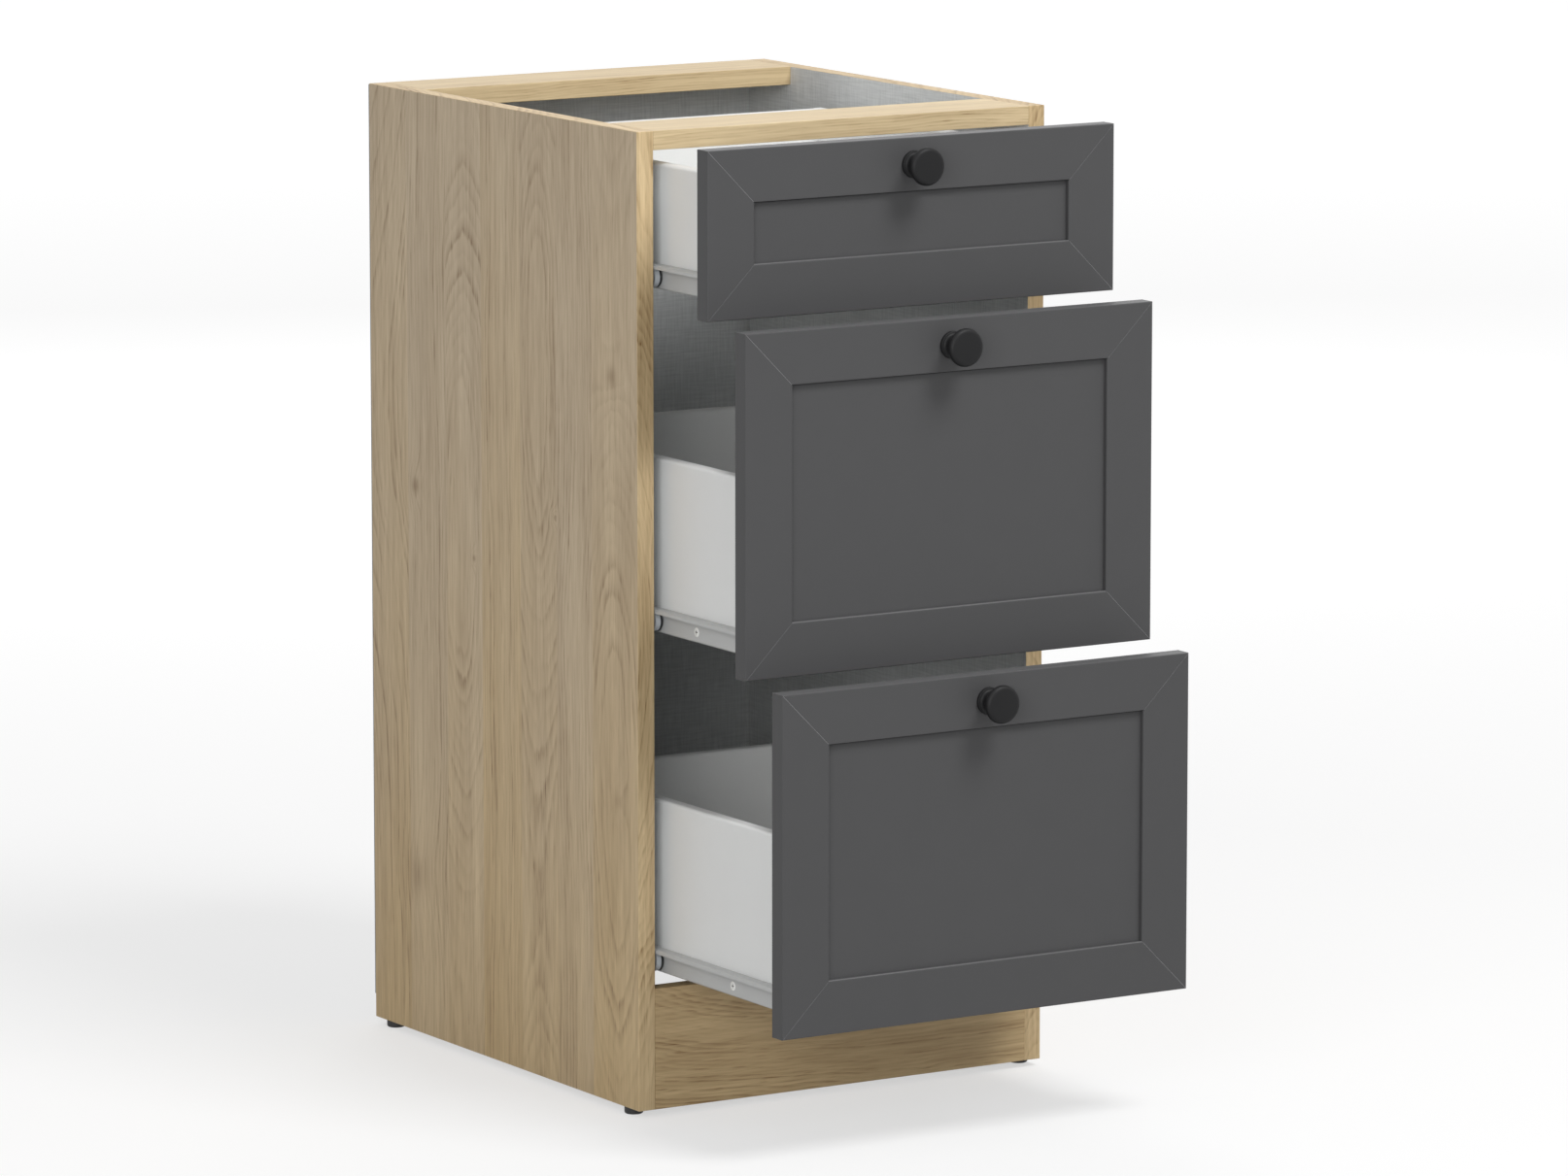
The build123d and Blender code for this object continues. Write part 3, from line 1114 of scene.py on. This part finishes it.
@dataclass
class Carcass:
    """The fixed body: two side panels, two top rails, the plinth, the back sheet and four glides."""

    body: str = "carcass"
    edge_round: float = 0.6 * MM
    band: float = 1.0 * MM
    sheet_round: float = 0.3 * MM
    glide_radius: float = 8.0 * MM
    glide_hollow: float = 0.7 * MM
    nail_inset: float = 7.0 * MM
    nail_pitch: float = 90.0 * MM
    cam_inset: float = 34.0 * MM
    cam_offset: float = 14.0 * MM
    hardware: Hardware = field(default_factory=Hardware)

    def build(self) -> None:
        """Builds the boards, then what is fixed to them."""
        self.side(Hand.LEFT, OAK_LEFT)
        self.side(Hand.RIGHT, OAK_RIGHT)
        self.crosspiece("front_top_rail", OAK_RAIL)
        self.crosspiece("rear_top_rail", OAK_RAIL)
        self.crosspiece("plinth_board", OAK_PLINTH)
        self.back()
        self.glides()
        self.nails()
        self.cams()

    def side(self, hand: Hand, oak: Finish) -> Piece:
        """Builds a side panel: oak outside, linen inside, with bands on its front and top edges.

        Args:
            hand: which side.
            oak: the print on its outer face.

        Returns:
            The panel.
        """
        node = f"{hand.word}_side_panel"
        low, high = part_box(node)
        piece = Bench.block(f"{hand.word}_side", low, high)
        Bench.cut(piece, Vector((0, low.y + self.band, 0)), BACK)
        Bench.cut(piece, Vector((0, 0, high.z - self.band)), UP)
        Bench.ease(piece, self.edge_round, 3)
        dress(piece, OAK_EDGE)
        dress(piece, oak, lambda centre, normal: normal.x * hand.value > SQUARE)
        dress(piece, LINEN, lambda centre, normal: normal.x * hand.value < -SQUARE)
        return fit(piece, self.body, Slot.OAK, node)

    def crosspiece(self, node: str, finish: Finish) -> Piece:
        """Builds a board that joins the two sides.

        Args:
            node: the board's node.
            finish: its oak print.

        Returns:
            The board.
        """
        low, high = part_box(node)
        piece = Bench.block(node.replace("_board", "").replace("_top", ""), low, high)
        Bench.ease(piece, self.edge_round, 3, lambda a, b: abs(a.x - b.x) > TOUCH)
        dress(piece, finish)
        return fit(piece, self.body, Slot.OAK, node)

    def back(self) -> Piece:
        """Builds the thin back sheet, with linen on its face.

        Returns:
            The sheet.
        """
        low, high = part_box("back_panel")
        piece = Bench.block("back_sheet", low, high)
        Bench.ease(piece, self.sheet_round, 2)
        dress(piece, BACK_SHEET)
        dress(piece, LINEN, lambda centre, normal: normal.y < -SQUARE)
        return fit(piece, self.body, Slot.BACK, "back_panel")

    def glides(self) -> Piece:
        """Builds the four glides under the side panels.

        Returns:
            The glides, as one piece.
        """
        low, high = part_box("feet")
        rim = self.glide_radius
        height = high.z - low.z
        corners = (
            (0, self.glide_hollow, 0),
            (2.4 * MM, self.glide_hollow, 0),
            (2.9 * MM, 0, 0),
            (rim, 0, 1.8 * MM),
            (rim, height, 0.5 * MM),
            (0, height, 0),
        )
        foot = Vector((low.x + rim, low.y + rim, low.z))
        first = Bench.turn("glide", Bench.rounded(corners, 4), foot, UP, 36)
        dress(first, FOOT_BLACK)
        aside = RIGHT * (high.x - low.x - 2 * rim)
        behind = BACK * (high.y - low.y - 2 * rim)
        moves = (aside, behind, aside + behind)
        others = [Bench.copy(first, f"glide_{i}", move) for i, move in enumerate(moves)]
        return fit(Bench.join("glides", [first, *others]), self.body, Slot.FOOT, "feet")

    def nails(self) -> Piece:
        """Builds the nails that hold the back sheet to the sides and the rear rail.

        Returns:
            The nails, as one piece.
        """
        low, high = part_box("back_panel")
        x = high.x - self.nail_inset
        top = high.z - self.nail_inset
        bottom = low.z + self.nail_inset
        rows = round((top - bottom) / self.nail_pitch)
        heights = [bottom + (top - bottom) * i / rows for i in range(rows + 1)]
        places = [Vector((side * x, high.y, z)) for side in (-1, 1) for z in heights]
        places += [Vector((x * step / 2, high.y, top)) for step in (-1, 0, 1)]
        piece = self.hardware.spread(self.hardware.nail(), "back_nails", places, BACK)
        return fit(piece, self.body, Slot.RUNNER)

    def cams(self) -> None:
        """Builds the cam fittings under the rails and behind the plinth."""
        for node in ("front_top_rail", "rear_top_rail"):
            low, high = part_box(node)
            x = high.x - self.cam_inset
            y = (low.y + high.y) / 2 - self.cam_offset
            places = [Vector((-x, y, low.z)), Vector((x, y, low.z))]
            name = node.replace("top_rail", "rail_cams")
            piece = self.hardware.spread(self.hardware.cam(), name, places, -UP)
            fit(piece, self.body, Slot.RUNNER)
        low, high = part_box("plinth_board")
        x = high.x - self.cam_inset
        z = (low.z + high.z) / 2 + self.cam_offset
        places = [Vector((-x, high.y, z)), Vector((x, high.y, z))]
        piece = self.hardware.spread(self.hardware.cam(), "plinth_cams", places, BACK)
        fit(piece, self.body, Slot.RUNNER)


@dataclass
class DrawerPart:
    """What the front, the box and the runners of one drawer share."""

    tier: Tier
    sheet: float = 1.2 * MM
    hardware: Hardware = field(default_factory=Hardware)

    @property
    def body(self) -> str:
        """The drawer's own body."""
        return self.named("drawer")

    def named(self, part: str) -> str:
        """Puts the drawer's tier before the name of a part."""
        return f"{self.tier.value}_{part}"

    def screws(
        self, name: str, first: Vector, pitch: tuple[float, ...], facing: Vector, body: str
    ) -> Piece:
        """Sets a row of screws that hold a runner.

        Args:
            name: the row's name, without the tier.
            first: where the row starts.
            pitch: how far behind the start each screw sits.
            facing: the direction that the heads look to.
            body: the body they ride on.

        Returns:
            The row, as one piece.
        """
        places = [first + BACK * back for back in pitch]
        row = self.hardware.spread(self.hardware.screw(), self.named(name), places, facing)
        return fit(row, body, Slot.RUNNER)


@dataclass
class ShakerFront(DrawerPart):
    """A drawer front: two rails and two stiles mitred round a recessed panel, with a turned knob."""

    arris: float = 0.9 * MM
    inner_arris: float = 1.4 * MM
    mitre: float = 0.4 * MM
    recess: float = 4.0 * MM
    panel: float = 6.0 * MM
    tongue: float = 8.0 * MM
    slack: float = 0.1 * MM
    panel_round: float = 0.8 * MM
    slope: tuple[float, float] = (0.2, 0.93)
    diagonal: float = 0.1
    knob_base: float = 11.5 * MM
    knob_flange: float = 3.0 * MM
    knob_waist: float = 8.5 * MM
    knob_flare: float = 9.0 * MM
    knob_rim: float = 4.5 * MM

    def build(self) -> None:
        """Builds the frame, its panel, the knob and the knob's screw."""
        self.member("lower_rail", UP, RIGHT)
        self.member("upper_rail", -UP, RIGHT)
        self.member("left_stile", RIGHT, UP)
        self.member("right_stile", -RIGHT, UP)
        self.infill()
        self.knob()

    def member(self, part: str, inward: Vector, run: Vector) -> Piece:
        """Builds one rail or stile: a block, grooved for the panel, mitred at both ends and eased.

        Args:
            part: the member's name.
            inward: the direction from its outer edge to the panel.
            run: the direction of its length.

        Returns:
            The member.
        """
        node = self.named(f"front_{part}")
        low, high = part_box(node)
        face = low.y
        piece = Bench.block(self.named(part), low, high)
        groove = (face + self.recess - self.slack, face + self.recess + self.panel + self.slack)
        for y in groove:
            Bench.cut(piece, Vector((0, y, 0)), BACK)
        lower = inward.x + inward.z > 0
        outer = low if lower else high

        def in_groove(centre: Vector, normal: Vector) -> bool:
            """Whether a face looks to the panel from between the groove's walls."""
            return normal.dot(inward) > FACES and groove[0] < centre.y < groove[1]

        def on_face(a: Vector, b: Vector) -> bool:
            """Whether an edge lies on the front's face."""
            return max(a.y, b.y) < face + TOUCH

        def lengthwise(a: Vector, b: Vector) -> bool:
            """Whether an edge runs along the member."""
            return abs((b - a).normalized().dot(run)) > STRAIGHT

        def inside(a: Vector, b: Vector) -> bool:
            """Whether an edge is the one beside the panel."""
            return lengthwise(a, b) and (a - outer).dot(inward) > self.tongue

        def outside(a: Vector, b: Vector) -> bool:
            """Whether an edge is the long one away from the panel."""
            return lengthwise(a, b) and not inside(a, b)

        def eased(centre: Vector, normal: Vector) -> bool:
            """Whether a face is part of a rounded edge."""
            return centre.y < face + self.inner_arris and self.slope[0] < -normal.y < self.slope[1]

        def falling(centre: Vector, normal: Vector) -> bool:
            """Whether a face lies on the edge of a mitre that runs down to the right."""
            return eased(centre, normal) and normal.x * normal.z > self.diagonal

        def rising(centre: Vector, normal: Vector) -> bool:
            """Whether a face lies on the upper edge of a mitre that runs up to the right."""
            return eased(centre, normal) and normal.x < -LEANS and normal.z > LEANS

        def beside_panel(centre: Vector, normal: Vector) -> bool:
            """Whether a face lies on the rounding beside the panel."""
            across = abs(normal.dot(run)) < LEANS
            return eased(centre, normal) and across and normal.dot(inward) > LEANS

        Bench.push(piece, -inward * self.tongue, in_groove)
        for end, corner in ((run, high), (-run, low)):
            level = Vector((corner.x, face, outer.z))
            upright = Vector((outer.x, face, corner.z))
            place = level if run is RIGHT else upright
            Bench.cut(piece, place, (inward + end).normalized(), drop=True)
        Bench.ease(piece, self.inner_arris, 3, lambda a, b: on_face(a, b) and inside(a, b))
        Bench.ease(piece, self.arris, 3, lambda a, b: on_face(a, b) and outside(a, b))
        Bench.ease(piece, self.mitre, 1, lambda a, b: on_face(a, b) and not lengthwise(a, b))
        dress(piece, ANTHRACITE)
        # Painted highlight on the rails' outer edge faces
        dress(piece, FRONT_EDGE_HIGHLIGHT, lambda centre, normal: run is RIGHT and normal.dot(inward) < -FACES)
        # Painted highlight on the chamfers of the mitres that run down to the right
        dress(piece, FRONT_ARRIS_HIGHLIGHT, falling)
        # Painted highlight on the upper chamfers of the mitres that run up to the right
        dress(piece, FRONT_MITRE_HIGHLIGHT, rising)
        if lower:
            # Painted highlight on the rounding beside the panel of the lower rail and the left stile
            dress(piece, FRONT_EDGE_HIGHLIGHT, beside_panel)
        elif inward.z < 0:
            # Painted shade on the upper rail's rounding beside the panel
            dress(piece, FRONT_PAINTED_SHADE, beside_panel)
        return fit(piece, self.body, Slot.FRONT, node)

    def infill(self) -> Piece:
        """Builds the panel, with its edges eased where they enter the groove.

        Returns:
            The panel.
        """
        node = self.named("front_panel")
        low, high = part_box(node)
        piece = Bench.block(self.named("panel"), low, high)
        Bench.ease(piece, self.panel_round, 2)
        dress(piece, ANTHRACITE)
        return fit(piece, self.body, Slot.FRONT, node)

    def knob(self) -> None:
        """Turns the knob, with its flange, waist and flared cap, and sets its screw behind the front."""
        node = self.named("knob")
        low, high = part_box(node)
        rim = (high.x - low.x) / 2
        top = high.y - low.y
        corners = (
            (0, 0, 0),
            (self.knob_base, 0, 0.3 * MM),
            (self.knob_base, self.knob_flange, 0.9 * MM),
            (self.knob_waist, self.knob_flange, 2.4 * MM),
            (self.knob_waist, self.knob_flare, 8.0 * MM),
            (rim, top - self.knob_rim, 2.0 * MM),
            (rim, top, 3.8 * MM),
            (0, top, 0),
        )
        foot = Vector(((low.x + high.x) / 2, high.y, (low.z + high.z) / 2))
        piece = Bench.turn(self.named("turned_knob"), Bench.rounded(corners, 6), foot, -BACK, 56)
        dress(piece, KNOB_BLACK)
        fit(piece, self.body, Slot.KNOB, node)
        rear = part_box(self.named("front_upper_rail"))[1].y
        place = Vector((foot.x, rear, foot.z))
        name = self.named("knob_screw")
        bolt = self.hardware.spread(self.hardware.bolt(), name, [place], BACK)
        fit(bolt, self.body, Slot.RUNNER)


@dataclass
class DrawerBox(DrawerPart):
    """The box behind a front: two sides, a back and a thin bottom, with the screws of its runners."""

    top_round: float = 3.0 * MM
    edge_round: float = 0.5 * MM
    bottom_round: float = 0.4 * MM
    screw_back: tuple[float, ...] = (103.0 * MM, 295.0 * MM)
    screw_rise: float = 7.6 * MM

    def build(self) -> None:
        """Builds the boards and the runners' screws, and dresses the runners."""
        for part in ("left_side", "right_side", "back"):
            self.board(part)
        self.bottom()
        for hand in Hand:
            self.runner(hand)

    def board(self, part: str) -> Piece:
        """Builds a side or the back, with its top edges rounded.

        Args:
            part: the board's name.

        Returns:
            The board.
        """
        node = self.named(f"drawer_{part}")
        low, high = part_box(node)
        piece = Bench.block(self.named(f"box_{part}"), low, high)
        run = RIGHT if part == "back" else BACK

        def along_top(a: Vector, b: Vector) -> bool:
            """Whether an edge runs along the top of the board."""
            on_top = min(a.z, b.z) > high.z - TOUCH
            return on_top and abs((b - a).normalized().dot(run)) > STRAIGHT

        Bench.ease(piece, self.top_round, 5, along_top)
        Bench.ease(piece, self.edge_round, 2, lambda a, b: max(a.z, b.z) < low.z + TOUCH)
        dress(piece, WHITE)
        return fit(piece, self.body, Slot.WHITE, node)

    def bottom(self) -> Piece:
        """Builds the thin bottom that stands in the grooves of the box.

        Returns:
            The bottom.
        """
        node = self.named("drawer_bottom")
        low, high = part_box(node)
        piece = Bench.block(self.named("box_bottom"), low, high)
        Bench.ease(piece, self.bottom_round, 2)
        dress(piece, WHITE_SHEET)
        return fit(piece, self.body, Slot.BOTTOM, node)

    def runner(self, hand: Hand) -> Piece:
        """Dresses the runner that the box rides on, and sets its screws.

        Args:
            hand: which side.

        Returns:
            The screws.
        """
        node = self.named(f"drawer_runner_{hand.word}")
        dress(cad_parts[node], STEEL)
        low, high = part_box(self.named(f"drawer_{hand.word}_side"))
        outer = low.x if hand is Hand.LEFT else high.x
        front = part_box(self.named("front_upper_rail"))[1].y
        first = Vector((outer + hand.value * self.sheet, front, low.z + self.screw_rise))
        name = f"runner_screws_{hand.word}"
        return self.screws(name, first, self.screw_back, RIGHT * hand.value, self.body)


@dataclass
class CabinetRunners(DrawerPart):
    """One drawer's fixed runners on the side panels, their screws, and the rollers of both members."""

    front_width: float = 6.7 * MM
    rear_width: float = 6.5 * MM
    bore: float = 3.05 * MM
    dish: float = 0.7 * MM
    dish_slope: float = 0.3 * MM
    hub_wall: float = 1.5 * MM
    rim_wall: float = 2.2 * MM
    shoulder: float = 0.9 * MM
    side_play: float = 0.1 * MM
    tyre: float = 2.4 * MM
    screw_back: tuple[float, ...] = (60.0 * MM, 252.0 * MM, 380.0 * MM)
    screw_rise: float = 10.0 * MM

    def build(self) -> None:
        """Dresses the members, sets their screws and turns the rollers."""
        for hand in Hand:
            self.member(hand)
        self.rollers("front", self.front_width)
        self.rollers("rear", self.rear_width)
        self.axle_heads("front", self.front_width, "carcass")
        self.axle_heads("rear", 0.0, self.body)

    def member(self, hand: Hand) -> Piece:
        """Dresses a fixed member, and sets the screws that hold it to the side panel.

        Args:
            hand: which side.

        Returns:
            The screws.
        """
        node = self.named(f"cabinet_runner_{hand.word}")
        dress(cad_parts[node], STEEL)
        low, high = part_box(node)
        wall = low.x if hand is Hand.LEFT else high.x
        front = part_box("left_side_panel")[0].y
        first = Vector((wall - hand.value * self.sheet, front, low.z + self.screw_rise))
        name = f"track_screws_{hand.word}"
        return self.screws(name, first, self.screw_back, RIGHT * -hand.value, "carcass")

    def rollers(self, end: str, width: float) -> Piece:
        """Turns the pair of rollers at one end: dished faces, a hub, and a dark band on the tread beside
        the drawer.

        Args:
            end: front or rear.
            width: how wide a roller is.

        Returns:
            The pair.
        """
        node = self.named(f"{end}_rollers")
        low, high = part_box(node)
        rim = (high.z - low.z) / 2
        soft = self.shoulder
        hub = self.bore + self.hub_wall
        inner = rim - self.rim_wall
        half = (
            (self.bore, 0, 0),
            (hub, 0, 0),
            (hub + self.dish_slope, self.dish, 0),
            (inner, self.dish, 0),
            (inner + self.dish_slope, 0, 0),
            (rim, 0, soft),
        )
        seam = ((rim, width - self.tyre, 0),)
        mirrored = tuple((radius, width - height, bend) for radius, height, bend in reversed(half))
        corners = half + seam + mirrored + half[:1]
        middle = (low + high) / 2
        foot = Vector((low.x, middle.y, middle.z))
        left = Bench.turn(node + "_left", Bench.rounded(corners, 3), foot, RIGHT, 40)

        def on_tyre(centre: Vector, normal: Vector) -> bool:
            """Whether a face lies on the tread beside the drawer.

            Args:
                centre, normal: the face's centre and normal.

            Returns:
                Whether it does.
            """
            beside = centre.x > low.x + width - self.tyre
            tread = math.hypot(centre.y - middle.y, centre.z - middle.z) > rim - soft
            return beside and tread and abs(normal.x) < FACES

        dress(left, NYLON)
        # The tread beside the drawer is coloured dark
        dress(left, DARK_TREAD, on_tyre)
        half_turn = Matrix.Rotation(math.pi, 4, "Z")
        right = Bench.copy(left, node + "_right", BACK * (2 * middle.y), half_turn)
        pair = Bench.join(self.named(f"{end}_roller_pair"), [left, right])
        return fit(pair, node, Slot.ROLLER, node)

    def axle_heads(self, end: str, reach: float, body: str) -> Piece:
        """Sets the spread heads that keep a pair of rollers on their axles.

        Args:
            end: front or rear.
            reach: how far from a roller's face beside the panel its head sits; 0 is at that face.
            body: the body that carries the axles.

        Returns:
            The pair of heads.
        """
        low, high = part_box(self.named(f"{end}_rollers"))
        middle = (low + high) / 2
        facing = RIGHT if reach else -RIGHT
        step = RIGHT * reach + facing * self.side_play
        name = self.named(f"{end}_axle_heads")
        heads = []
        for hand, wall in ((Hand.LEFT, low.x), (Hand.RIGHT, high.x)):
            place = Vector((wall, middle.y, middle.z)) - step * hand.value
            looks = -facing * hand.value
            head = self.hardware.spread(self.hardware.rivet(), f"{name}_{hand.word}", [place], looks)
            heads.append(head)
        return fit(Bench.join(name, heads), body, Slot.RUNNER)


@dataclass(frozen=True)
class Lamp:
    """A soft lamp: where it hangs, the side of its square face, its watts, and if gloss reflects it."""

    name: str
    place: Direction
    size: float
    power: float
    shows_in_gloss: bool = True


LAMPS = (
    Lamp("key", (0.8, -2.5, 4.1), 1.6, 127.0),
    Lamp("fill", (-3.5, -3.4, 1.6), 2.4, 86.0),
    Lamp("rear", (1.8, 3.6, 2.3), 2.4, 46.0, shows_in_gloss=False),
)


@dataclass
class Studio:
    """The pale floor, the soft light and the camera."""

    floor_size: float = 80.0
    floor_colour: float = 0.38
    floor_lift: tuple[float, float] = (0.58, 0.84)
    lift_reach: tuple[float, float] = (1.2, 7.0)
    horizon: float = 0.36
    zenith: float = 0.45
    picture_width: float = 1614.0
    focal: float = 9126.34
    sensor: float = 36.0
    sight: float = 200.0
    eye: Vector = field(default_factory=lambda: Vector((-3.89145, -6.32593, 1.62417)))
    gaze: Vector = field(default_factory=lambda: Vector((0.517699, 0.840410, -0.160310)))
    aim: Vector = field(default_factory=lambda: Vector((0.0, 0.0, 0.4)))

    def build(self) -> None:
        """Sets up the floor, the sky, the lamps, the camera and the way colours are shown."""
        bpy.context.scene.view_settings.view_transform = "Standard"
        self.floor()
        self.sky_light()
        for lamp in LAMPS:
            self.hang(lamp)
        self.camera()

    def floor(self) -> None:
        """Lays a pale floor that shows white where it is lit and keeps the object's shadow."""
        Bench.clear()
        bpy.ops.mesh.primitive_plane_add(size=self.floor_size)
        plane = Bench.settle(bpy.context.active_object, "floor")
        material = bpy.data.materials.new("pale_floor")
        material.use_nodes = True
        nodes = Nodes(material.node_tree)
        nodes.tree.nodes.clear()
        place = nodes.add("ShaderNodeTexCoord").outputs["Object"]
        away = nodes.add("ShaderNodeVectorMath", {0: place}, operation="LENGTH").outputs["Value"]
        rise = nodes.between(nodes.span(away, *self.lift_reach), *self.floor_lift)
        glow = nodes.add("ShaderNodeEmission", {"Strength": nodes.calc("MULTIPLY", nodes.seen(), rise)})
        matt = nodes.add("ShaderNodeBsdfDiffuse", {"Color": (self.floor_colour,) * 3 + (1.0,)})
        both = nodes.add("ShaderNodeAddShader", {0: matt.outputs[0], 1: glow.outputs[0]})
        nodes.add("ShaderNodeOutputMaterial", {"Surface": both.outputs[0]})
        plane.data.materials.append(material)

    def sky_light(self) -> None:
        """Lights the object evenly from all round, and shows white behind it."""
        world = bpy.data.worlds.new("studio")
        bpy.context.scene.world = world
        world.use_nodes = True
        nodes = Nodes(world.node_tree)
        height = nodes.split(nodes.add("ShaderNodeTexCoord").outputs["Generated"])[2]
        dome = nodes.between(height, self.horizon, self.zenith)
        ground = nodes.tree.nodes["Background"]
        nodes.feed(ground.inputs["Color"], (1.0, 1.0, 1.0, 1.0))
        nodes.feed(ground.inputs["Strength"], nodes.between(nodes.seen(), dome, 1.0))

    def hang(self, lamp: Lamp) -> None:
        """Hangs a soft lamp that looks at the cabinet.

        Args:
            lamp: the lamp to hang.
        """
        data = bpy.data.lights.new(lamp.name, "AREA")
        data.shape = "SQUARE"
        data.size = lamp.size
        data.energy = lamp.power
        hung = bpy.data.objects.new(lamp.name, data)
        bpy.context.scene.collection.objects.link(hung)
        hung.location = lamp.place
        hung.rotation_euler = (self.aim - Vector(lamp.place)).to_track_quat("-Z", "Y").to_euler()
        hung.visible_camera = False
        hung.visible_glossy = lamp.shows_in_gloss

    def camera(self) -> None:
        """Sets the camera at the photograph's viewing angle."""
        data = bpy.data.cameras.new("camera")
        data.sensor_width = self.sensor
        data.lens = self.focal / self.picture_width * self.sensor
        data.clip_end = self.sight
        camera = bpy.data.objects.new("camera", data)
        bpy.context.scene.collection.objects.link(camera)
        camera.location = self.eye
        camera.rotation_euler = self.gaze.to_track_quat("-Z", "Y").to_euler()
        bpy.context.scene.camera = camera


def main() -> None:
    """Builds the cabinet, its drawers and their runners, then the studio."""
    Carcass().build()
    for tier in Tier:
        ShakerFront(tier).build()
        DrawerBox(tier).build()
        CabinetRunners(tier).build()
    Studio().build()


if __name__ == "__main__":
    main()
